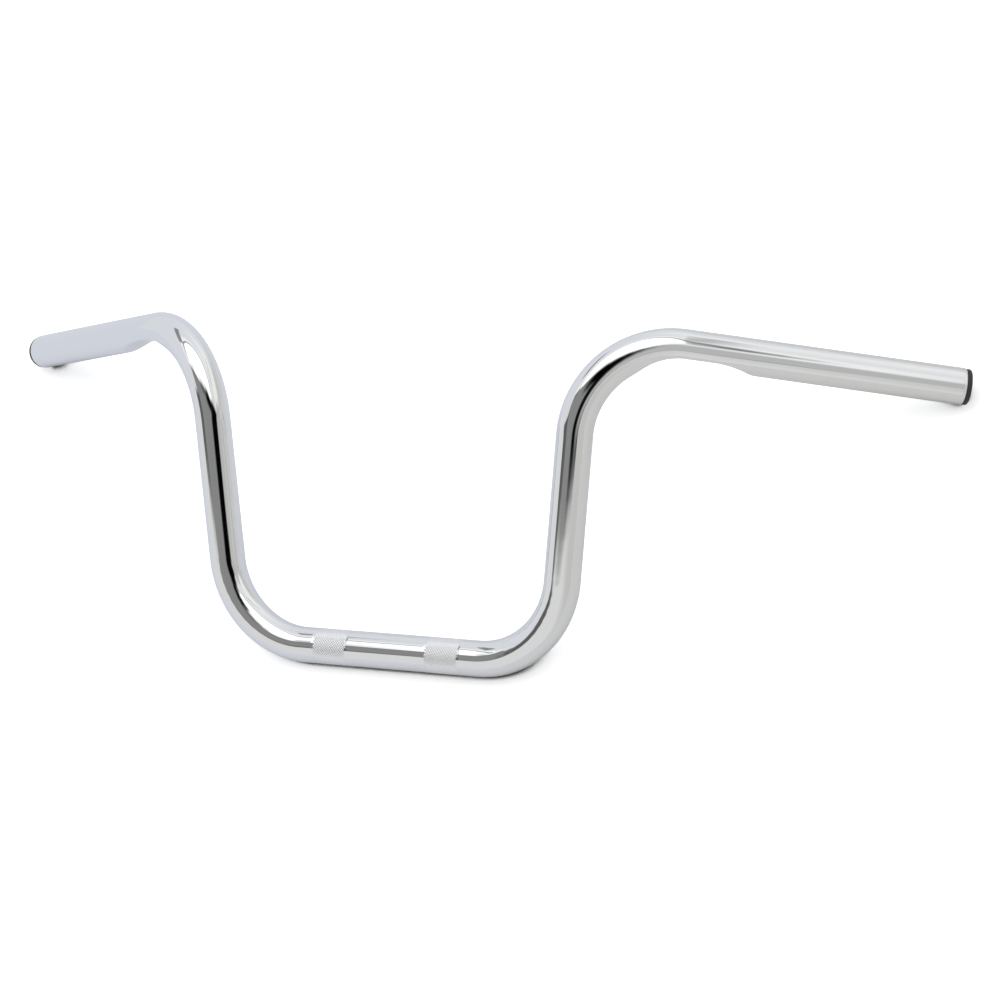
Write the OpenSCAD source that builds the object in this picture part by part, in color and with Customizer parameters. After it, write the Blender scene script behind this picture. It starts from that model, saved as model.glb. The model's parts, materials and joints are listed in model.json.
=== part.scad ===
// Ape hanger handlebar: one bent steel tube with a plastic plug in each end.
// Units are millimetres. The bar lies on the floor z = 0, resting on the bands
// of its base and on its two ends. X runs along the base, Y from the base to
// the grips, and the origin is on the floor under the middle of the bar.

/* [Tube] */

// Outside diameter of the tube
tube_diameter = 25.4; // [22:0.1:28.6]

// Thickness of the tube's wall
tube_wall = 2.4; // [1.6:0.1:3]

// Size of the bevel on each tube end
end_bevel = 0.6; // [0.2:0.1:1]

/* [Bends] */

// Distance between the two corners where base and riser centrelines would meet
base_corner_span = 255; // [230:1:340]

// Length of a riser's centreline from corner to corner
riser_length = 230; // [190:1:420]

// Outward lean of each riser in degrees
riser_lean = 5.7; // [0:0.1:12]

// Length of a grip's centreline from the upper corner to the tube's end
grip_length = 263; // [225:1:320]

// Sweep of the grips towards the rider in degrees
pullback_angle = 30; // [15:0.5:40]

// Slope of the grips down from the upper corners in degrees
droop_angle = 8.8; // [0:0.1:14]

// Centreline radius of all four bends
bend_radius = 65; // [55:1:75]

/* [Clamp bands] */

// Distance between the centres of the two knurled bands
band_spacing = 88.9; // [70:0.1:100]

// Width of each knurled band
band_width = 25.4; // [18:0.1:30]

// Height of the knurl over the tube
band_height = 0.08; // [0.04:0.01:0.2]

/* [Dimples] */

// Distance from the upper bend to the dimple's outer edge
dimple_length = 47.5; // [42:0.5:60]

// Depth of the dimple's flat floor under the tube's surface
dimple_depth = 6.2; // [3:0.1:7]

// Radius of the press tool at the dimple's outer end
dimple_ramp_radius = 64; // [40:1:80]

// Radius of the press tool at the dimple's inner end
dimple_nose_radius = 38; // [20:1:42]

// How far the dimple's floor runs from its ramp towards the bend
dimple_floor_length = 18; // [10:1:22]

/* [End plugs] */

// Thickness of a plug's flange
flange_thickness = 3.2; // [2.5:0.1:5]

// Radius of the flange's rounded edge
flange_edge_radius = 1.4; // [0.5:0.1:2]

// How much smaller the flange's radius is than the tube's
flange_step = 0.4; // [0.2:0.1:1]

// Length of the shank inside the tube
shank_length = 22; // [12:1:30]

// Gap between the shank's ribs and the tube's bore
shank_clearance = 0.1; // [0.05:0.01:0.3]

// Height of a rib over the shank's core
rib_height = 0.7; // [0.3:0.1:1]

// Thickness of the shank's wall under the ribs
shank_wall = 2.2; // [1.5:0.1:3]

/* [Hidden] */

$fn = 32;

tube_radius = tube_diameter / 2;
bore_radius = tube_radius - tube_wall;
band_radius = tube_radius + band_height;
flange_radius = tube_radius - flange_step;
rib_radius = bore_radius - shank_clearance;
core_radius = rib_radius - rib_height;
rib_count = 4;
rib_land = 0.5;
rib_slope = 2;
overrun = 1;
mark_height = 0.02;
mark_width = 0.6;
mark_inset = 0.15;

function unit(v) = v / norm(v);
function across(v, along) = unit(v - (v * along) * along);

// Corners and directions of the right half, with the risers' plane as z = 0
base_dir = [1, 0, 0];
riser_dir = [sin(riser_lean), cos(riser_lean), 0];
grip_dir = [cos(pullback_angle) * cos(droop_angle), -sin(droop_angle),
            -sin(pullback_angle) * cos(droop_angle)];
base_corner = [base_corner_span / 2, 0, 0];
top_corner = base_corner + riser_length * riser_dir;
tube_end = top_corner + grip_length * grip_dir;

// Angle turned by each bend and the length it takes from each corner
lower_turn = acos(base_dir * riser_dir);
upper_turn = acos(riser_dir * grip_dir);
lower_cut = bend_radius * tan(lower_turn / 2);
upper_cut = bend_radius * tan(upper_turn / 2);

// Direction of the seam that runs along the whole path without a twist
base_side = [0, -1, 0];
riser_side = across(base_dir, riser_dir);
upper_outward = -across(grip_dir, riser_dir);
upper_axis = cross(upper_outward, riser_dir);
upper_spin = atan2(riser_side * upper_axis, riser_side * upper_outward);
grip_side = cos(upper_spin) * across(riser_dir, grip_dir) + sin(upper_spin) * upper_axis;

// Tilt of the risers' plane at which base and plug flanges touch the floor
foot = tube_end + (flange_thickness - flange_edge_radius) * grip_dir;
foot_reach = norm([foot.y, foot.z]);
function slope(tilt) = grip_dir * [0, sin(tilt), cos(tilt)];
function foot_drop(tilt) = band_radius - flange_edge_radius
    - (flange_radius - flange_edge_radius) * sqrt(1 - pow(slope(tilt), 2));
function rest_tilt(tilt, left) = left == 0 ? tilt :
    rest_tilt(atan2(-foot.z, foot.y) - asin(foot_drop(tilt) / foot_reach), left - 1);
lying_tilt = rest_tilt(30, 6);

// Middle of the lying bar's depth, between the bands and the grips' ends
function lying_y(v) = v.y * cos(lying_tilt) - v.z * sin(lying_tilt);
grip_lie = sqrt(1 - pow(lying_y(grip_dir), 2));
tube_reach = lying_y(tube_end - end_bevel * grip_dir) + tube_radius * grip_lie;
plug_reach = lying_y(foot) + (flange_radius - flange_edge_radius) * grip_lie + flange_edge_radius;
lying_middle = (max(tube_reach, plug_reach) - band_radius) / 2;

// Sets children at a point, with their z along one direction and x along another
module set_at(point, along, side) {
    third = cross(along, side);
    multmatrix([[side.x, third.x, along.x, point.x],
                [side.y, third.y, along.y, point.y],
                [side.z, third.z, along.z, point.z],
                [0, 0, 0, 1]])
        children();
}

// Straight round bar from one point to another, with its seam along side
module straight(from, to, side, radius) {
    set_at(from, unit(to - from), side)
        cylinder(r = radius, h = norm(to - from));
}

// Round bar bent from one direction into the next around a corner
module bend(corner, dir_in, dir_out, turn, cut, spin, radius) {
    outward = -across(dir_out, dir_in);
    set_at(corner - cut * dir_in - bend_radius * outward, cross(outward, dir_in), outward)
        rotate_extrude(angle = turn)
            translate([bend_radius, 0])
                rotate(spin)
                    circle(r = radius);
}

// Faint ring that the bending die leaves where a bend meets a straight
module die_mark(point, dir, side, radius) {
    set_at(point - mark_width / 2 * dir, dir, side)
        cylinder(r = radius + mark_height, h = mark_width);
}

// Round bar along the right half of the bar's path, from the base's end
module half_path(radius, end_extra) {
    bend(base_corner, base_dir, riser_dir, lower_turn, lower_cut, 0, radius);
    straight(base_corner + (lower_cut + mark_inset) * riser_dir,
             top_corner - (upper_cut + mark_inset) * riser_dir, riser_side, radius);
    bend(top_corner, riser_dir, grip_dir, upper_turn, upper_cut, upper_spin, radius);
    straight(top_corner + (upper_cut + mark_inset) * grip_dir,
             tube_end + end_extra * grip_dir, grip_side, radius);
    die_mark(base_corner - lower_cut * base_dir, base_dir, base_side, radius);
    die_mark(base_corner + lower_cut * riser_dir, riser_dir, riser_side, radius);
    die_mark(top_corner - upper_cut * riser_dir, riser_dir, riser_side, radius);
    die_mark(top_corner + upper_cut * grip_dir, grip_dir, grip_side, radius);
}

// The same on both sides, joined by the base
module full_path(radius, end_extra) {
    half_base = base_corner.x - lower_cut - mark_inset;
    straight([-half_base, 0, 0], [half_base, 0, 0], base_side, radius);
    half_path(radius, end_extra);
    mirror([1, 0, 0]) half_path(radius, end_extra);
}

// Ring that is turned off a tube's end to leave its bevel
module bevel_cut() {
    set_at(tube_end, grip_dir, grip_side)
        rotate_extrude()
            polygon([[tube_radius - end_bevel - 1, 1], [tube_radius + 1, -end_bevel - 1],
                     [tube_radius + 1, 1]]);
}

// Raised band with a small chamfer at each edge, rooted in the tube's wall
module knurled_band() {
    root_depth = tube_wall / 2;
    set_at([band_spacing / 2 - band_width / 2, 0, 0], base_dir, base_side)
        rotate_extrude()
            polygon([[tube_radius - root_depth, -root_depth],
                     [band_radius, band_height],
                     [band_radius, band_width - band_height],
                     [tube_radius - root_depth, band_width + root_depth]]);
}

// Round-nosed press tool on the grip's inner side, made larger all round by grow
module press_tool(grow) {
    floor_x = tube_radius - dimple_depth;
    ramp_run = sqrt(pow(dimple_ramp_radius, 2) - pow(dimple_ramp_radius - dimple_depth, 2));
    ramp_z = ramp_run - dimple_length;
    nose_z = ramp_z + dimple_floor_length;
    start_z = -dimple_length - tube_radius;
    half_width = tube_radius + 2 * overrun;
    set_at(top_corner + upper_cut * grip_dir, -grip_dir, -across(riser_dir, grip_dir))
        intersection() {
            union() {
                translate([floor_x + dimple_ramp_radius, half_width, ramp_z])
                    rotate([90, 0, 0])
                        cylinder(r = dimple_ramp_radius + grow, h = 2 * half_width, $fn = 120);
                translate([floor_x - grow, -half_width, ramp_z])
                    cube([tube_diameter, 2 * half_width, dimple_floor_length]);
                translate([floor_x + dimple_nose_radius, half_width, nose_z])
                    rotate([90, 0, 0])
                        cylinder(r = dimple_nose_radius + grow, h = 2 * half_width, $fn = 120);
            }
            translate([floor_x - 2 * grow - overrun, -half_width - overrun, start_z])
                cube([2 * tube_diameter, 2 * (half_width + overrun),
                      nose_z - start_z + 1.6 * dimple_nose_radius]);
        }
}

// Both press tools, or both of any other thing made for the right side
module both_sides() {
    children();
    mirror([1, 0, 0]) children();
}

// Turns the bar into its lying position on the floor
module lying() {
    translate([0, -lying_middle, band_radius])
        rotate([lying_tilt, 0, 0])
            children();
}

module handlebar_tube() {
    color([0.82, 0.83, 0.85])
        lying()
            difference() {
                union() {
                    full_path(tube_radius, 0);
                    both_sides() knurled_band();
                }
                both_sides() bevel_cut();
                both_sides() press_tool(0);
                difference() {
                    full_path(bore_radius, overrun);
                    both_sides() press_tool(tube_wall);
                }
            }
}

// Outline of a plug from its axis out, with the shank below the flange
module plug_outline() {
    difference() {
        union() {
            square([flange_radius - flange_edge_radius, flange_thickness]);
            square([flange_radius, flange_thickness - flange_edge_radius]);
            translate([flange_radius - flange_edge_radius, flange_thickness - flange_edge_radius])
                circle(r = flange_edge_radius);
            translate([0, -shank_length]) square([core_radius, shank_length + rib_land]);
            for (i = [1 : rib_count])
                translate([0, -shank_length * i / (rib_count + 0.5)])
                    polygon([[0, 0], [core_radius, 0], [rib_radius, 0], [rib_radius, rib_land],
                             [core_radius, rib_land + rib_slope], [0, rib_land + rib_slope]]);
        }
        translate([-overrun, -shank_length - overrun])
            square([overrun + core_radius - shank_wall, shank_length + overrun]);
        translate([-tube_diameter, -shank_length - 2 * overrun])
            square([tube_diameter, shank_length + flange_thickness + 4 * overrun]);
    }
}

module plug() {
    set_at(tube_end, grip_dir, across(riser_dir, grip_dir))
        rotate_extrude()
            plug_outline();
}

module left_end_plug() {
    color([0.05, 0.05, 0.06])
        lying()
            mirror([1, 0, 0])
                plug();
}

module right_end_plug() {
    color([0.05, 0.05, 0.06])
        lying()
            plug();
}

handlebar_tube();
left_end_plug();
right_end_plug();
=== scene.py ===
# %% [markdown]
# # A chromed ape hanger handlebar, lying on a studio floor
# The solids of the bar and its two end plugs come in as a fixed frame. This
# script gives the bar its mirror-smooth skin, its pressed dimples and its
# knurled clamp bands, paints the finishes, and sets up the studio.

import json
import math

import bpy
import numpy as np
from mathutils import Matrix


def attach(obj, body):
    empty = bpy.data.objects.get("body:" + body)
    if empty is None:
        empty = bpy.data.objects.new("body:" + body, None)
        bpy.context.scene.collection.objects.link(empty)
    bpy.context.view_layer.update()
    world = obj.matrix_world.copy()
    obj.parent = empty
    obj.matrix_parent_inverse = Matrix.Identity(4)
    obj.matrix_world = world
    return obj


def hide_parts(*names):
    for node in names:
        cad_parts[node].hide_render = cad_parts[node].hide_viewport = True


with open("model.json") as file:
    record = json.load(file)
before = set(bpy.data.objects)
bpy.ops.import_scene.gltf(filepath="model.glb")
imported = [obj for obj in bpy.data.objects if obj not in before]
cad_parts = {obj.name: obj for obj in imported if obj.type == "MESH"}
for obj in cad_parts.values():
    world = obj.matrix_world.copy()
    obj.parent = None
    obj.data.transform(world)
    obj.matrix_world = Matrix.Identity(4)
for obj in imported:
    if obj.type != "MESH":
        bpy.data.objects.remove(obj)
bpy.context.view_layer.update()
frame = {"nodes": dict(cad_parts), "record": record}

# %% [markdown]
# ## Places read from the frame
# The record's mounts say where the straight base and the two grip sections
# are. The places could be typed in by hand, but then they would be wrong as
# soon as the solids change. So everything that follows is worked out from
# those axes and a few sizes of the tube, and the skin lies on the solids. A
# bar like this is one inch in diameter, with a wall of 2.4 mm.

# %% Sizes of the tube, in metres
mounts = {m["name"]: m for m in frame["record"]["mounts"]}
TUBE_RADIUS = mounts["grip_right"]["dims"]["r_mm"] / 1000
END_BEVEL = 0.0006
GRIP_LENGTH = 0.263
BASE_CORNER_SPAN = 0.255


def unit(v):
    """A vector, or each row of an array of vectors, divided by its length."""
    return v / np.linalg.norm(v, axis=-1, keepdims=True)


def across(v, along):
    """The part of v that is square to along, made one long."""
    return unit(v - (v @ along) * along)


base_middle = np.array(mounts["clamp_span"]["pos_m"])
grip = mounts["grip_right"]
grip_dir = unit(np.array(grip["axis"], float))
half_wall = grip["dims"]["length_mm"] / 2000 + END_BEVEL
tube_end = np.array(grip["pos_m"]) + half_wall * grip_dir
top_corner = tube_end - GRIP_LENGTH * grip_dir
base_corner = base_middle + np.array([BASE_CORNER_SPAN / 2, 0, 0])
base_dir = np.array([1.0, 0, 0])
riser_dir = unit(top_corner - base_corner)
base_side = across(-riser_dir, base_dir)
print("tube end:", tube_end.round(4), "top corner:", top_corner.round(4))

# %% [markdown]
# ## Straights and bends
# The real bar is one straight tube bent four times on a mandrel. Its
# centreline is a row of straights and circular arcs. A Blender curve with a
# round bevel could draw it too, but its bends only come near a circle.
#
# Each station on the centreline carries its direction and a second vector
# across the tube, turned along with the bends and never twisted, so lines
# drawn along the skin stay lines.

# %% Stations on straights and bends
BEND_RADIUS = 0.065


def straight_run(start, end, side, count):
    """Stations from start to end: a point moves evenly, its directions stay."""
    t = np.linspace(0, 1, count, endpoint=False)[:, None]
    along = np.broadcast_to(unit(end - start), (count, 3))
    return start + t * (end - start), along, np.broadcast_to(side, (count, 3))


def corner_cut(dir_in, dir_out):
    """How far from a corner its bend starts and ends: the radius of the bend
    times the tangent of half the turn."""
    return BEND_RADIUS * math.tan(math.acos(dir_in @ dir_out) / 2)


def arc_run(corner, dir_in, dir_out, side, count):
    """Stations on the circle that rounds a corner: centre plus radius times
    the cosine and sine of the turned angle, with side turned by that angle."""
    inward = across(dir_out, dir_in)
    centre = corner - corner_cut(dir_in, dir_out) * dir_in + BEND_RADIUS * inward
    t = np.linspace(0, math.acos(dir_in @ dir_out), count, endpoint=False)[:, None]
    outward = np.sin(t) * dir_in - np.cos(t) * inward
    along = np.cos(t) * dir_in + np.sin(t) * inward
    axis = np.cross(-inward, dir_in)
    sides = (side @ -inward) * outward + (side @ axis) * axis
    return centre + BEND_RADIUS * outward, along, sides


low_cut = corner_cut(base_dir, riser_dir)
top_cut = corner_cut(riser_dir, grip_dir)
grip_straight = GRIP_LENGTH - top_cut
print("bends use up, mm:", round(1000 * low_cut, 1), "and", round(1000 * top_cut, 1))

# %% [markdown]
# ## The bar's path
# The path is worked out for the right half only, because the left half is its
# mirror image. It goes from the middle of the base through the lower bend, up
# the riser, through the upper bend and out to the end of the grip. Stations
# lie closest in the bends, because a mirror shows every corner in its shape.

# %% Centreline of the right half
BASE_STEPS, LOW_STEPS, RISER_STEPS, TOP_STEPS = 44, 64, 70, 100
GRIP_STEP = 0.0015


def half_path():
    """Points, directions and sides from the base's middle to the tube's end,
    and the length run up to each station."""
    riser_side = across(base_dir, riser_dir)
    top = arc_run(top_corner, riser_dir, grip_dir, riser_side, TOP_STEPS)
    grip_side = across(top[2][-1], grip_dir)
    base_end = base_corner - low_cut * base_dir
    riser_start = base_corner + low_cut * riser_dir
    riser_end = top_corner - top_cut * riser_dir
    grip_start = top_corner + top_cut * grip_dir
    grip_count = int(np.linalg.norm(tube_end - grip_start) / GRIP_STEP)
    runs = [
        straight_run(base_middle, base_end, base_side, BASE_STEPS),
        arc_run(base_corner, base_dir, riser_dir, base_side, LOW_STEPS),
        straight_run(riser_start, riser_end, riser_side, RISER_STEPS),
        top,
        straight_run(grip_start, tube_end, grip_side, grip_count),
    ]
    points, along, sides = (np.concatenate(part) for part in zip(*runs))
    points = np.vstack([points, tube_end])
    along = np.vstack([along, grip_dir])
    sides = np.vstack([sides, grip_side])
    steps = np.linalg.norm(np.diff(points, axis=0), axis=1)
    return points, along, sides, np.concatenate([[0], np.cumsum(steps)])


path_points, path_along, path_sides, path_run = half_path()
from_end = path_run[-1] - path_run
print("stations:", len(path_run), "half length:", round(path_run[-1], 4))

# %% [markdown]
# ## The dimples
# A press squeezes the inner side of each grip flat next to the upper bend, so
# that cables can pass under the switch housing. The press leaves a long ramp
# at its outer end, a flat floor, and a soft run-out in the bend.
#
# The pressed floor is a plane square to the dimple's direction. On a ring
# round the tube that plane lies at floor / cos(angle), so the skin takes the
# smaller of that and the tube's own radius, with the edge rounded a little.
# A Boolean cut would do the same, but it leaves long thin faces at the edge,
# and each of them would show in the chrome.

# %% Radius of the pressed tube
DIMPLE_LENGTH = 0.0475
DIMPLE_DEPTH = 0.0062
RAMP_RADIUS = 0.064
RAMP_REACH = 0.9 * RAMP_RADIUS
NOSE_RADIUS = 0.038
FLOOR_LENGTH = 0.018
EDGE_ROUNDING = 0.00035
LEAST_COSINE = 0.001
UNPRESSED = 2 * TUBE_RADIUS


def soft_min(a, b, rounding):
    """The smaller of two sizes, rounded where they are about the same."""
    return 0.5 * (a + b - np.sqrt((a - b) ** 2 + 4 * rounding**2))


def dimple_depth(from_end):
    """Depth of the floor by the length from the tube's end: the ramp is an arc
    of the tool's radius, and the run-out is the tool's nose less the bend.
    Where the depth is below zero, the press doesn't touch the tube."""
    ramp_run = math.sqrt(2 * RAMP_RADIUS * DIMPLE_DEPTH - DIMPLE_DEPTH**2)
    ramp_end = grip_straight - DIMPLE_LENGTH + ramp_run
    nose_start = ramp_end + FLOOR_LENGTH
    before = np.clip(ramp_end - from_end, 0, RAMP_REACH)
    after = np.maximum(from_end - nose_start, 0)
    rise = RAMP_RADIUS - np.sqrt(RAMP_RADIUS**2 - before**2)
    inner = BEND_RADIUS - TUBE_RADIUS
    run_out = after**2 / 2 * (1 / NOSE_RADIUS - 1 / inner)
    return DIMPLE_DEPTH - rise - run_out


def skin_radius(base_radius, angle_to_dimple, wall=0.0):
    """Radius on each station and angle, with the dimple pressed in. The last
    term gives back what the rounding takes off the unpressed tube."""
    floor = TUBE_RADIUS - wall - dimple_depth(from_end)[:, None]
    facing = np.cos(angle_to_dimple)
    pressed = np.where(facing > LEAST_COSINE, floor / np.maximum(facing, LEAST_COSINE), UNPRESSED)
    pressed = soft_min(np.minimum(pressed, UNPRESSED), base_radius, EDGE_ROUNDING)
    return pressed + EDGE_ROUNDING**2 / TUBE_RADIUS


print("deepest dimple, mm:", round(1000 * dimple_depth(from_end).max(), 2))

# %% [markdown]
# ## Skins from rings
# A ring of points round each station makes a skin: centre plus radius times
# cosine and sine of the ring's angle along the two cross directions. The left
# half is the right half with x turned round. Each grid joins its last ring to
# its first, so a skin that runs out along the outside and back along the
# inside is closed, and its faces all point outwards. The faces stay in even
# rows along the tube, so reflections flow along it without a kink.

# %% Rings and closed grids
RING = 96


def rings(points, along, sides, radii, angles):
    """Points on rings: centre + radius * (cos * side + sin * (along x side))."""
    third = np.cross(along, sides)
    cos, sin = np.cos(angles)[None, :, None], np.sin(angles)[None, :, None]
    return points[:, None] + radii[..., None] * (cos * sides[:, None] + sin * third[:, None])


def both_halves(half):
    """The right half and its mirror image, in order from left end to right."""
    mirrored = half[:0:-1] * np.array([-1, 1, 1])
    return np.concatenate([mirrored, half])


def put_mesh(name, points, faces):
    """A new piece from its points and faces, at the origin of the scene."""
    mesh = bpy.data.meshes.new(name)
    mesh.from_pydata(points, [], faces)
    mesh.update()
    piece = bpy.data.objects.new(name, mesh)
    bpy.context.scene.collection.objects.link(piece)
    return piece


def closed_grid(name, grid):
    """A smooth mesh from a grid of points that is closed both ways: the last
    column joins the first, and so does the last row."""
    index = np.arange(grid.shape[0] * grid.shape[1]).reshape(grid.shape[:2])
    below = np.roll(index, -1, axis=0)
    quads = np.stack([index, np.roll(index, -1, axis=1), np.roll(below, -1, axis=1), below], axis=-1)
    piece = put_mesh(name, grid.reshape(-1, 3).tolist(), quads.reshape(-1, 4).tolist())
    piece.data.polygons.foreach_set("use_smooth", np.ones(index.size, bool))
    return piece


ring_angles = np.linspace(0, 2 * np.pi, RING, endpoint=False)
print("one ring has", RING, "points,", round(2000 * np.pi * TUBE_RADIUS / RING, 2), "mm apart")

# %% [markdown]
# ## Marks of bending
# The inner side of a bend is squeezed, and the mandrel leaves shallow ripples
# there that hardly show until the tube is chromed. A bump map could fake
# them, but a mirror shows the true slope of its surface, so they are real.
# Two cosine waves that don't keep step make them uneven. They only ever go
# inwards, so the skin stays within the solid.

# %% Ripples in the bends
MARK_DEPTH = 0.00006
MARK_SPACING = 0.013
SECOND_WAVE = 0.66
MARK_REACH = 0.45


def bend_marks(first, steps, inner_angle):
    """Depth of the ripples on each station and angle: half of one less the
    product of two cosine waves along the tube, faded at both ends of the bend,
    strongest at the inner angle and gone on the outer side."""
    start, end = path_run[first], path_run[first + steps]
    turns = 2 * np.pi * (path_run - start) / MARK_SPACING
    wave = 0.5 - 0.5 * np.cos(turns) * np.cos(SECOND_WAVE * turns)
    middle, reach = (start + end) / 2, MARK_REACH * (end - start)
    fade = np.exp(-(((path_run - middle) / reach) ** 4))
    inner = 0.5 + 0.5 * np.cos(ring_angles - inner_angle)
    return MARK_DEPTH * (wave * fade)[:, None] * inner


def ring_angle(v, along, side):
    """The angle on a ring at which the vector v lies."""
    return math.atan2(v @ np.cross(along, side), v @ side)


top_inner = across(grip_dir, riser_dir)
top_angle = ring_angle(top_inner, riser_dir, path_sides[BASE_STEPS + LOW_STEPS])
low_marks = bend_marks(BASE_STEPS, LOW_STEPS, math.pi)
top_marks = bend_marks(BASE_STEPS + LOW_STEPS + RISER_STEPS, TOP_STEPS, top_angle)
print("deepest ripple, mm:", round(1000 * (low_marks + top_marks).max(), 3))

# %% [markdown]
# ## The chromed tube
# The skin runs along the outside to the bevelled end, over the end face and
# back through the bore, so the wall has its real thickness. Under the knurled
# bands it steps down a little, to make room for them. The bore is seen by
# nobody once the plugs are in, so it takes only every sixth station.

# %% Build the tube
WALL = 0.0024
BORE_RADIUS = TUBE_RADIUS - WALL
BORE_EVERY = 6
BAND_SPACING = 0.0889
BAND_WIDTH = 0.0254
BAND_RECESS = 0.0004
RECESS_MARGIN = 0.0003

dimple_angle = ring_angle(-across(riser_dir, grip_dir), grip_dir, path_sides[-1])
from_dimple = np.broadcast_to(ring_angles - dimple_angle, (len(path_run), RING))
under_band = np.abs(path_run - BAND_SPACING / 2) < BAND_WIDTH / 2 - RECESS_MARGIN
outer_base = np.where(under_band, TUBE_RADIUS - BAND_RECESS, TUBE_RADIUS)[:, None]
bevel = np.clip(END_BEVEL - from_end, 0, END_BEVEL)[:, None]
outer_radii = skin_radius(outer_base, from_dimple) - bevel - low_marks - top_marks
outside = rings(path_points, path_along, path_sides, outer_radii, ring_angles)

bore_base = np.full((len(path_run), 1), BORE_RADIUS)
bore_radii = skin_radius(bore_base, from_dimple, WALL)
whole_bore = rings(path_points, path_along, path_sides, bore_radii, ring_angles)
bore = whole_bore[::BORE_EVERY]
bore[-1] = whole_bore[-1]

skin = np.concatenate([both_halves(outside), both_halves(bore)[::-1]])
tube = closed_grid("chromed_tube", skin)
print("tube quads:", len(tube.data.polygons))

# %% [markdown]
# ## The knurled bands
# Two rollers press crossing grooves into the tube where the clamps grip it.
# A diamond knurl is the smaller of two sets of ridges that wind round the
# tube in opposite ways. A bump map would be cheaper, but it leaves the
# outline smooth and sparkles less than real ridges do. The ridges fade out at
# both edges of the band.

# %% Build the bands
BAND_RADIUS = mounts["clamp_span"]["dims"]["r_mm"] / 1000
KNURL_DEPTH = 0.0004
KNURL_AROUND = 40
KNURL_ROWS = 110
KNURL_RING = 480
KNURL_FADE = 0.0008
BAND_EDGE_SINK = 0.0001


def ridges(turns):
    """A triangle wave, 1 at whole turns and 0 halfway between them."""
    return np.abs(turns % 1 - 0.5) * 2


def knurl(name, centre_x):
    """Rings along X: two families of triangle waves in the angle plus or minus
    the length over the pitch; the radius follows the lower of the two."""
    x = np.linspace(-BAND_WIDTH / 2, BAND_WIDTH / 2, KNURL_ROWS)[:, None]
    angle = np.linspace(0, 2 * np.pi, KNURL_RING, endpoint=False)
    turns = KNURL_AROUND * angle / (2 * np.pi)
    pitch = 2 * np.pi * TUBE_RADIUS / KNURL_AROUND
    groove = np.minimum(ridges(turns + x / pitch), ridges(turns - x / pitch))
    fade = np.clip((BAND_WIDTH / 2 - np.abs(x)) / KNURL_FADE, 0, 1)
    low = TUBE_RADIUS - BAND_EDGE_SINK
    radii = low + fade * (BAND_RADIUS - KNURL_DEPTH * (1 - groove) - low)
    inner = np.full((1, KNURL_RING), TUBE_RADIUS - 2 * BAND_RECESS)
    radii = np.vstack([inner, radii, inner])
    x = np.vstack([x[:1], x, x[-1:]])
    points = base_middle + np.array([centre_x, 0, 0]) + x * base_dir
    along, sides = (np.broadcast_to(v, points.shape) for v in (base_dir, base_side))
    return closed_grid(name, rings(points, along, sides, radii, angle))


left_band = knurl("left_knurled_band", -BAND_SPACING / 2)
right_band = knurl("right_knurled_band", BAND_SPACING / 2)
print("band quads:", len(left_band.data.polygons))

# %% [markdown]
# ## Finishes
# Chrome is a mirror: a metallic surface with hardly any roughness, a little
# darker and bluer than pure white. A faint unevenness of the polish keeps
# reflections from looking drawn. The bands carry the same plating, but their
# cut faces are duller. The plugs are black moulded plastic with a satin
# surface and a fine grain.

# %% Finish materials
POLISH_SCALE, POLISH_STRENGTH, POLISH_HEIGHT = 30, 1.0, 0.00004
GRAIN_SCALE, GRAIN_STRENGTH, GRAIN_HEIGHT = 900, 0.15, 0.0002


def finish_material(name, colour, metallic, roughness):
    """A material of one colour on its Principled shader."""
    material = bpy.data.materials.new(name)
    material.use_nodes = True
    shader = material.node_tree.nodes["Principled BSDF"]
    shader.inputs["Base Color"].default_value = (*colour, 1)
    shader.inputs["Metallic"].default_value = metallic
    shader.inputs["Roughness"].default_value = roughness
    return material


def noise_bump(material, scale, strength, distance):
    """Fine unevenness on Object coordinates, fed to the shader's normal."""
    nodes, links = material.node_tree.nodes, material.node_tree.links
    shader = nodes["Principled BSDF"]
    coords = nodes.new("ShaderNodeTexCoord")
    noise = nodes.new("ShaderNodeTexNoise")
    noise.inputs["Scale"].default_value = scale
    bump = nodes.new("ShaderNodeBump")
    bump.inputs["Strength"].default_value = strength
    bump.inputs["Distance"].default_value = distance
    links.new(coords.outputs["Object"], noise.inputs["Vector"])
    links.new(noise.outputs["Fac"], bump.inputs["Height"])
    links.new(bump.outputs["Normal"], shader.inputs["Normal"])


chrome = finish_material("polished chrome", (0.88, 0.885, 0.89), 1.0, 0.045)
noise_bump(chrome, POLISH_SCALE, POLISH_STRENGTH, POLISH_HEIGHT)
knurl_chrome = finish_material("knurled chrome", (0.9, 0.9, 0.91), 1.0, 0.1)
plug_black = finish_material("black plug plastic", (0.018, 0.018, 0.022), 0.0, 0.42)
noise_bump(plug_black, GRAIN_SCALE, GRAIN_STRENGTH, GRAIN_HEIGHT)
print("materials:", [m.name for m in (chrome, knurl_chrome, plug_black)])

# %% [markdown]
# ## Pieces in their finishes
# The skin and the two bands take the place of the plain tube and go with the
# same body. The plugs are good as they come, so they only get their material.

# %% Put the finishes on
tube.data.materials.append(chrome)
for band in (left_band, right_band):
    band.data.materials.append(knurl_chrome)
for node in ("left_end_plug", "right_end_plug"):
    plug = frame["nodes"][node]
    plug.data.materials.clear()
    plug.data.materials.append(plug_black)
for piece in (tube, left_band, right_band):
    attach(piece, "root")
    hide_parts("handlebar_tube")
print("in chrome:", tube.name, left_band.name, right_band.name)

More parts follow.
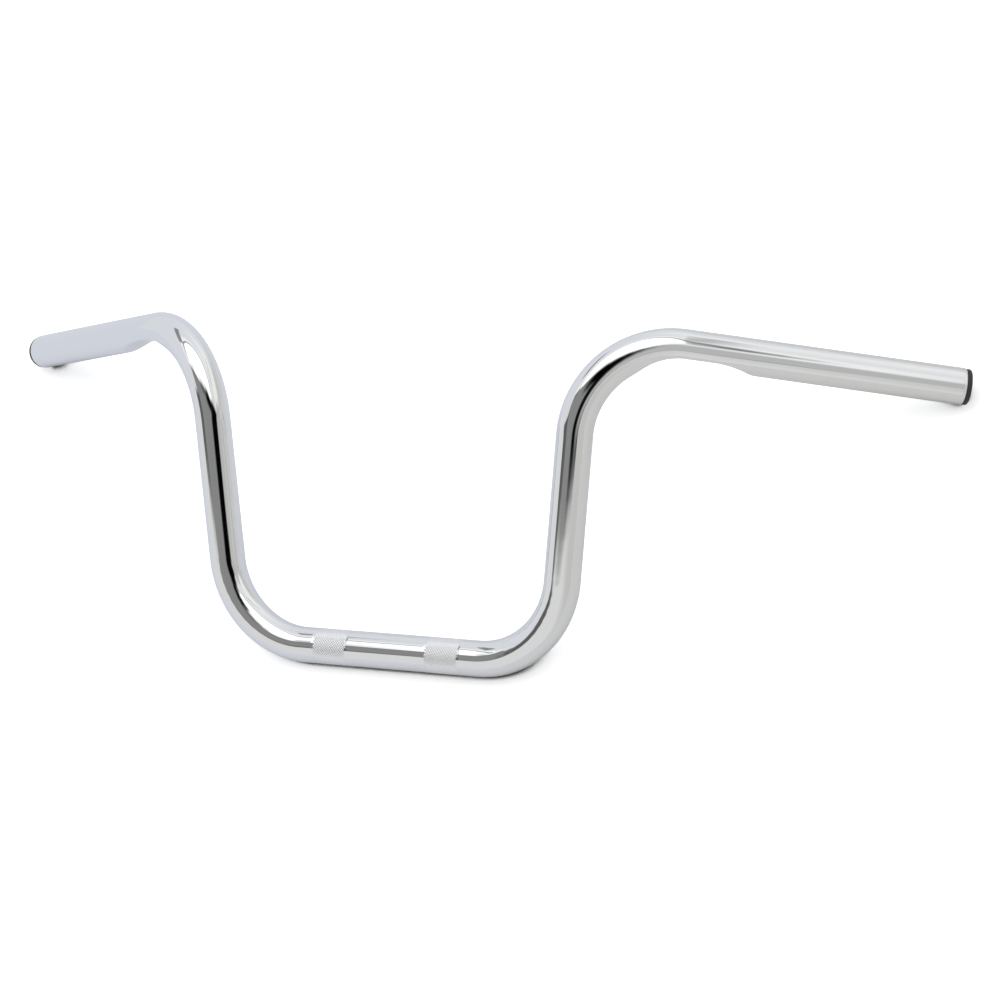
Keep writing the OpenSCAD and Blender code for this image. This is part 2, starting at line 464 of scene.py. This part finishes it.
# %% [markdown]
# ## The studio
# Chrome shows its surroundings, so the studio is part of its look. The bar
# lies in a white tent: a pale floor, a bright roof of cloth, and one dark gap
# in the roof that the picture was taken through. A photographed panorama
# could stand in for it, but painted cloth needs no picture and can be set so
# that each part of the bar shows the right tone. It takes only a few kinds of
# node: sums, soft steps and one colour laid over another.


# %% Helpers for painted surroundings
def math_node(tree, operation, *values):
    """A Math node with its inputs set to numbers or linked to sockets."""
    node = tree.nodes.new("ShaderNodeMath")
    node.operation = operation
    for socket, value in zip(node.inputs, values):
        if isinstance(value, (int, float)):
            socket.default_value = value
        else:
            tree.links.new(value, socket)
    return node.outputs[0]


def coordinates(tree, kind):
    """The x, y and z sockets of one kind of texture coordinates."""
    split = tree.nodes.new("ShaderNodeSeparateXYZ")
    tree.links.new(tree.nodes.new("ShaderNodeTexCoord").outputs[kind], split.inputs[0])
    return split.outputs


def smooth_step(tree, value, low, high):
    """0 below low, 1 above high, and a smooth change between them. With low
    above high it goes the other way."""
    node = tree.nodes.new("ShaderNodeMapRange")
    node.interpolation_type = "SMOOTHSTEP"
    tree.links.new(value, node.inputs["Value"])
    node.inputs["From Min"].default_value = low
    node.inputs["From Max"].default_value = high
    return node.outputs["Result"]


def over(tree, colour, patch, new_colour):
    """The new colour where the patch is 1, else the colour from before."""
    node = tree.nodes.new("ShaderNodeMix")
    node.data_type = "RGBA"
    tree.links.new(patch, node.inputs["Factor"])
    if isinstance(colour, tuple):
        node.inputs["A"].default_value = (*colour, 1)
    else:
        tree.links.new(colour, node.inputs["A"])
    node.inputs["B"].default_value = (*new_colour, 1)
    return node.outputs["Result"]


def empty_material(name):
    """A material with an empty node tree, its tree and its output node."""
    material = bpy.data.materials.new(name)
    material.use_nodes = True
    material.node_tree.nodes.clear()
    return material, material.node_tree, material.node_tree.nodes.new("ShaderNodeOutputMaterial")


def level_sheet(name, centre, reach, height):
    """A level square that reaches equally far from its centre on all sides."""
    corners = [(-1, -1), (1, -1), (1, 1), (-1, 1)]
    points = [(centre[0] + reach * x, centre[1] + reach * y, height) for x, y in corners]
    sheet = put_mesh(name, points, [(0, 1, 2, 3)])
    return sheet


painting = (math_node, coordinates, smooth_step, over, empty_material, level_sheet)
print("painting helpers:", [helper.__name__ for helper in painting])

# %% [markdown]
# ### The floor
# The bar shows the floor in its lower half. There its colour is painted
# light and shade: lighter and cooler on the left, darker and warmer on the
# right. To the camera the same floor is white: the diffuse colour is switched
# to white on camera rays, with a faint glow added, so only the shadow near the
# bar is darker.
#
# Where metal touches cloth there is a thin black line, and it is a painted
# contact shadow. An ambient occlusion node tells how much of a small dome over
# each spot is open, and where the bar covers most of it the floor's colour is
# painted black.

# %% Floor
FLOOR_REACH = 3.0
FLOOR_LIT_LEFT = (0.69, 0.71, 0.77)
FLOOR_SHADED_RIGHT = (0.63, 0.625, 0.605)
FLOOR_SHADE_TURNS = (-0.3, 0.4)
FLOOR_LIFT = 0.32
WHITE = (1.0, 1.0, 1.0)
CONTACT_SHADOW_BLACK = (0.0, 0.0, 0.0)
CONTACT_REACH = 0.03
CONTACT_SHADOW_DARK, CONTACT_SHADOW_CLEAR = 0.36, 0.41
CONTACT_SAMPLES = 24

floor = level_sheet("floor", (0, 0), FLOOR_REACH, 0.0)
floor_paint, tree, out = empty_material("white floor")
matte = tree.nodes.new("ShaderNodeBsdfDiffuse")
glow = tree.nodes.new("ShaderNodeEmission")
both = tree.nodes.new("ShaderNodeAddShader")
seen = tree.nodes.new("ShaderNodeLightPath").outputs["Is Camera Ray"]
covered = tree.nodes.new("ShaderNodeAmbientOcclusion")
covered.inputs["Distance"].default_value = CONTACT_REACH
covered.samples = CONTACT_SAMPLES
# Painted light and shade for reflections: the floor is lighter and cooler on the left, darker and
# warmer on the right.
floor_shade_to_right = smooth_step(tree, coordinates(tree, "Object")["X"], *FLOOR_SHADE_TURNS)
colour = over(tree, over(tree, FLOOR_LIT_LEFT, floor_shade_to_right, FLOOR_SHADED_RIGHT), seen, WHITE)
# Painted contact shadow: where the bar covers most of the small dome, the floor's colour turns black
# for all rays, and its glow fades there too.
contact_shadow = smooth_step(tree, covered.outputs["AO"], CONTACT_SHADOW_CLEAR, CONTACT_SHADOW_DARK)
colour = over(tree, colour, contact_shadow, CONTACT_SHADOW_BLACK)
tree.links.new(colour, matte.inputs["Color"])
lift = math_node(tree, "MULTIPLY", math_node(tree, "SUBTRACT", 1, contact_shadow), FLOOR_LIFT)
tree.links.new(math_node(tree, "MULTIPLY", lift, seen), glow.inputs["Strength"])
tree.links.new(matte.outputs[0], both.inputs[0])
tree.links.new(glow.outputs[0], both.inputs[1])
tree.links.new(both.outputs[0], out.inputs["Surface"])
floor.data.materials.append(floor_paint)
print("floor is", 2 * FLOOR_REACH, "m wide; contact line within", 1000 * CONTACT_REACH, "mm")

# %% [markdown]
# ### The tent's cloth
# The world is the cloth of the tent. To the camera it is plain white. To all
# other rays its colour depends on the direction alone: cool walls at the back
# and on the left, a neutral one in front, a darker and warmer one on the
# right, and a bright roof.
#
# Reflections see the cloth at strength one. As a light it is a little
# stronger, so the floor under the bar comes out as bright as the walls.

# %% World
WALL_BACK = (0.76, 0.78, 0.82)
WALL_LEFT = (0.74, 0.76, 0.8)
WALL_RIGHT = (0.58, 0.575, 0.56)
WALL_FRONT = (0.74, 0.74, 0.735)
TURNS_LEFT, TURNS_FRONT, TURNS_RIGHT = (-0.2, -0.6), (0.0, -0.5), (0.3, 0.8)
ROOF_WHITE = (1.3, 1.3, 1.3)
ROOF_EDGE = 0.79
SOFT_BELOW, SOFT_ABOVE = 0.12, 0.06
CLOTH_LIGHT = 1.3

world = bpy.data.worlds.new("white tent")
world.use_nodes = True
bpy.context.scene.world = world
tree = world.node_tree
tree.nodes.clear()
out = tree.nodes.new("ShaderNodeOutputWorld")
tent = tree.nodes.new("ShaderNodeBackground")
plain = tree.nodes.new("ShaderNodeBackground")
plain.inputs["Color"].default_value = (*WHITE, 1)
plain.inputs["Strength"].default_value = 1.0
mix = tree.nodes.new("ShaderNodeMixShader")
ray = tree.nodes.new("ShaderNodeLightPath")
tree.links.new(ray.outputs["Is Camera Ray"], mix.inputs["Fac"])
tree.links.new(tent.outputs[0], mix.inputs[1])
tree.links.new(plain.outputs[0], mix.inputs[2])
tree.links.new(mix.outputs[0], out.inputs["Surface"])
softened = math_node(tree, "MULTIPLY", ray.outputs["Is Glossy Ray"], 1 - CLOTH_LIGHT)
tree.links.new(math_node(tree, "ADD", softened, CLOTH_LIGHT), tent.inputs["Strength"])

to_right, to_back, upward = coordinates(tree, "Generated")
colour = over(tree, WALL_BACK, smooth_step(tree, to_right, *TURNS_LEFT), WALL_LEFT)
colour = over(tree, colour, smooth_step(tree, to_back, *TURNS_FRONT), WALL_FRONT)
colour = over(tree, colour, smooth_step(tree, to_right, *TURNS_RIGHT), WALL_RIGHT)
roof_part = smooth_step(tree, upward, ROOF_EDGE - SOFT_BELOW, ROOF_EDGE + SOFT_ABOVE)
cloth = over(tree, colour, roof_part, ROOF_WHITE)
print("roof starts", round(math.degrees(math.asin(ROOF_EDGE))), "degrees up")

# %% [markdown]
# ### Patches and seam of the roof
# The roof isn't even: its back is less bright, a grey flap hangs over the
# front, and one end of the flap is darker. Both halves of the bar see them in
# the same direction, as things far away, so they are placed by slope: where a
# ray that rises by one goes by x to the right and y to the back. Each patch
# has a centre, a width and a depth, its turn in degrees, the softness of its
# edge and its brightness. A thin grey seam runs along the back edge.

# %% Roof patches
LEAST_RISE = 0.05
PATCHES_START = (0.1, 0.2)
SEAM_WIDTH = 0.025
SEAM_GREY = (0.2, 0.2, 0.2)
SEAM_STARTS = (-0.1, 0.1)
FAR_PATCHES = {
    "dimmer back of the roof": ((1.75, 1.9), (3.0, 3.9), 32, 0.64, 0.9),
    "grey flap over the front": ((0.0, -0.61), (1.88, 0.83), -6, 0.035, 0.26),
    "dark end of the flap": ((-1.1, -0.76), (0.75, 0.47), 10, 0.052, 0.115),
}


def soft_patch(tree, x, y, centre, size, turned, edge):
    """1 inside a turned rectangle on a plane, 0 outside, with soft edges: the
    product of a smooth step across the width and one across the height."""
    c, s = math.cos(math.radians(turned)), math.sin(math.radians(turned))
    dx = math_node(tree, "SUBTRACT", x, centre[0])
    dy = math_node(tree, "SUBTRACT", y, centre[1])
    dx_c, dx_s = math_node(tree, "MULTIPLY", dx, c), math_node(tree, "MULTIPLY", dx, s)
    dy_c, dy_s = math_node(tree, "MULTIPLY", dy, c), math_node(tree, "MULTIPLY", dy, s)
    u = math_node(tree, "ABSOLUTE", math_node(tree, "ADD", dx_c, dy_s))
    v = math_node(tree, "ABSOLUTE", math_node(tree, "SUBTRACT", dy_c, dx_s))
    inside_u = smooth_step(tree, u, size[0] / 2 + edge, size[0] / 2 - edge)
    inside_v = smooth_step(tree, v, size[1] / 2 + edge, size[1] / 2 - edge)
    return math_node(tree, "MULTIPLY", inside_u, inside_v)


rise = math_node(tree, "MAXIMUM", upward, LEAST_RISE)
slope_x = math_node(tree, "DIVIDE", to_right, rise)
slope_y = math_node(tree, "DIVIDE", to_back, rise)
above = smooth_step(tree, upward, *PATCHES_START)
for centre, size, turned, edge, brightness in FAR_PATCHES.values():
    patch = soft_patch(tree, slope_x, slope_y, centre, size, turned, edge)
    cloth = over(tree, cloth, math_node(tree, "MULTIPLY", patch, above), (brightness,) * 3)
seam_bottom = smooth_step(tree, upward, ROOF_EDGE - SEAM_WIDTH, ROOF_EDGE)
seam_top = smooth_step(tree, upward, ROOF_EDGE + SEAM_WIDTH, ROOF_EDGE)
seam = math_node(tree, "MULTIPLY", seam_bottom, seam_top)
seam = math_node(tree, "MULTIPLY", seam, smooth_step(tree, to_back, *SEAM_STARTS))
cloth = over(tree, cloth, seam, SEAM_GREY)
tree.links.new(cloth, tent.inputs["Color"])
print("far patches:", len(FAR_PATCHES))

# %% [markdown]
# ### Cards near the bar
# Seams, gaps and the dark opening that the picture was taken through are
# level cards at their own heights, so both halves of the bar see them from
# different places. Each has a height, a centre, a width and a depth in
# metres, its turn in degrees, the softness of its edge and its brightness.
# Only reflections see the cards.

# %% Cards
CARDS = {
    "grey_seam_on_the_left": (1.07, (-1.02, 0.86), (0.29, 0.9), 10, 0.046, 0.26),
    "seam_on_the_right": (0.87, (0.71, 0.89), (0.04, 1.03), 2, 0.06, 0.4),
    "dark_line_on_the_left": (3.0, (-1.8, -0.3), (0.15, 0.54), -14, 0.33, 0.0),
    "far_corner_of_the_opening": (3.87, (0.39, -0.77), (2.47, 0.5), -5, 0.53, 0.006),
    "narrow_end_of_the_opening": (1.19, (0.33, -0.33), (0.6, 0.34), -22, 0.1, 0.001),
    "opening_over_the_front": (0.87, (0.8, -0.56), (1.0, 0.72), -11.4, 0.09, 0.001),
    "pale_card_by_the_opening": (0.365, (0.63, -0.12), (0.59, 0.32), -2, 0.053, 0.51),
}


def tent_card(name, height, centre, size, turned, edge, brightness):
    """A level card just larger than its patch, clear outside the patch."""
    card = level_sheet(name, centre, 0.5 * math.hypot(*size) + edge, height)
    card.visible_camera = card.visible_diffuse = card.visible_shadow = False
    cloth, tree, out = empty_material(name)
    light = tree.nodes.new("ShaderNodeEmission")
    clear = tree.nodes.new("ShaderNodeBsdfTransparent")
    cover = tree.nodes.new("ShaderNodeMixShader")
    light.inputs["Color"].default_value = (brightness, brightness, brightness, 1)
    x, y = coordinates(tree, "Object")[:2]
    tree.links.new(soft_patch(tree, x, y, centre, size, turned, edge), cover.inputs["Fac"])
    tree.links.new(clear.outputs[0], cover.inputs[1])
    tree.links.new(light.outputs[0], cover.inputs[2])
    tree.links.new(cover.outputs[0], out.inputs["Surface"])
    card.data.materials.append(cloth)


for card_name, settings in CARDS.items():
    tent_card(card_name, *settings)
print("cards:", len(CARDS))

# %% [markdown]
# ## Camera
# The camera looks down on the bar from the front right, rolled so that the
# base lies nearly level in the picture. A long lens keeps the two grips about
# the same size. Azimuth is the turn to the right of the front, elevation the
# height above the floor, and all three angles are in degrees.

# %% Camera
AZIMUTH, ELEVATION, ROLL = 48.955, 53.839, 39.532
DISTANCE = 2.4
AIM = np.array([0.0401, 0.0185, -0.0078])
LENS, SENSOR_WIDTH = 120.2, 36
FARTHEST_SEEN = 50

azimuth, elevation, roll = (math.radians(angle) for angle in (AZIMUTH, ELEVATION, ROLL))
outwards = np.array([math.sin(azimuth), -math.cos(azimuth), 0])
back = math.cos(elevation) * outwards + math.sin(elevation) * np.array([0, 0, 1])
level_right = np.array([math.cos(azimuth), math.sin(azimuth), 0])
level_up = np.cross(back, level_right)
right = math.cos(roll) * level_right - math.sin(roll) * level_up
up = math.sin(roll) * level_right + math.cos(roll) * level_up
eye = AIM + DISTANCE * back

camera_data = bpy.data.cameras.new("camera")
camera_data.lens = LENS
camera_data.sensor_width = SENSOR_WIDTH
camera_data.clip_end = FARTHEST_SEEN
camera = bpy.data.objects.new("camera", camera_data)
bpy.context.scene.collection.objects.link(camera)
camera.matrix_world = Matrix([*zip(right, up, back, eye), (0, 0, 0, 1)])
bpy.context.scene.camera = camera
bpy.context.scene.view_settings.view_transform = "Standard"
print("camera at", eye.round(3))
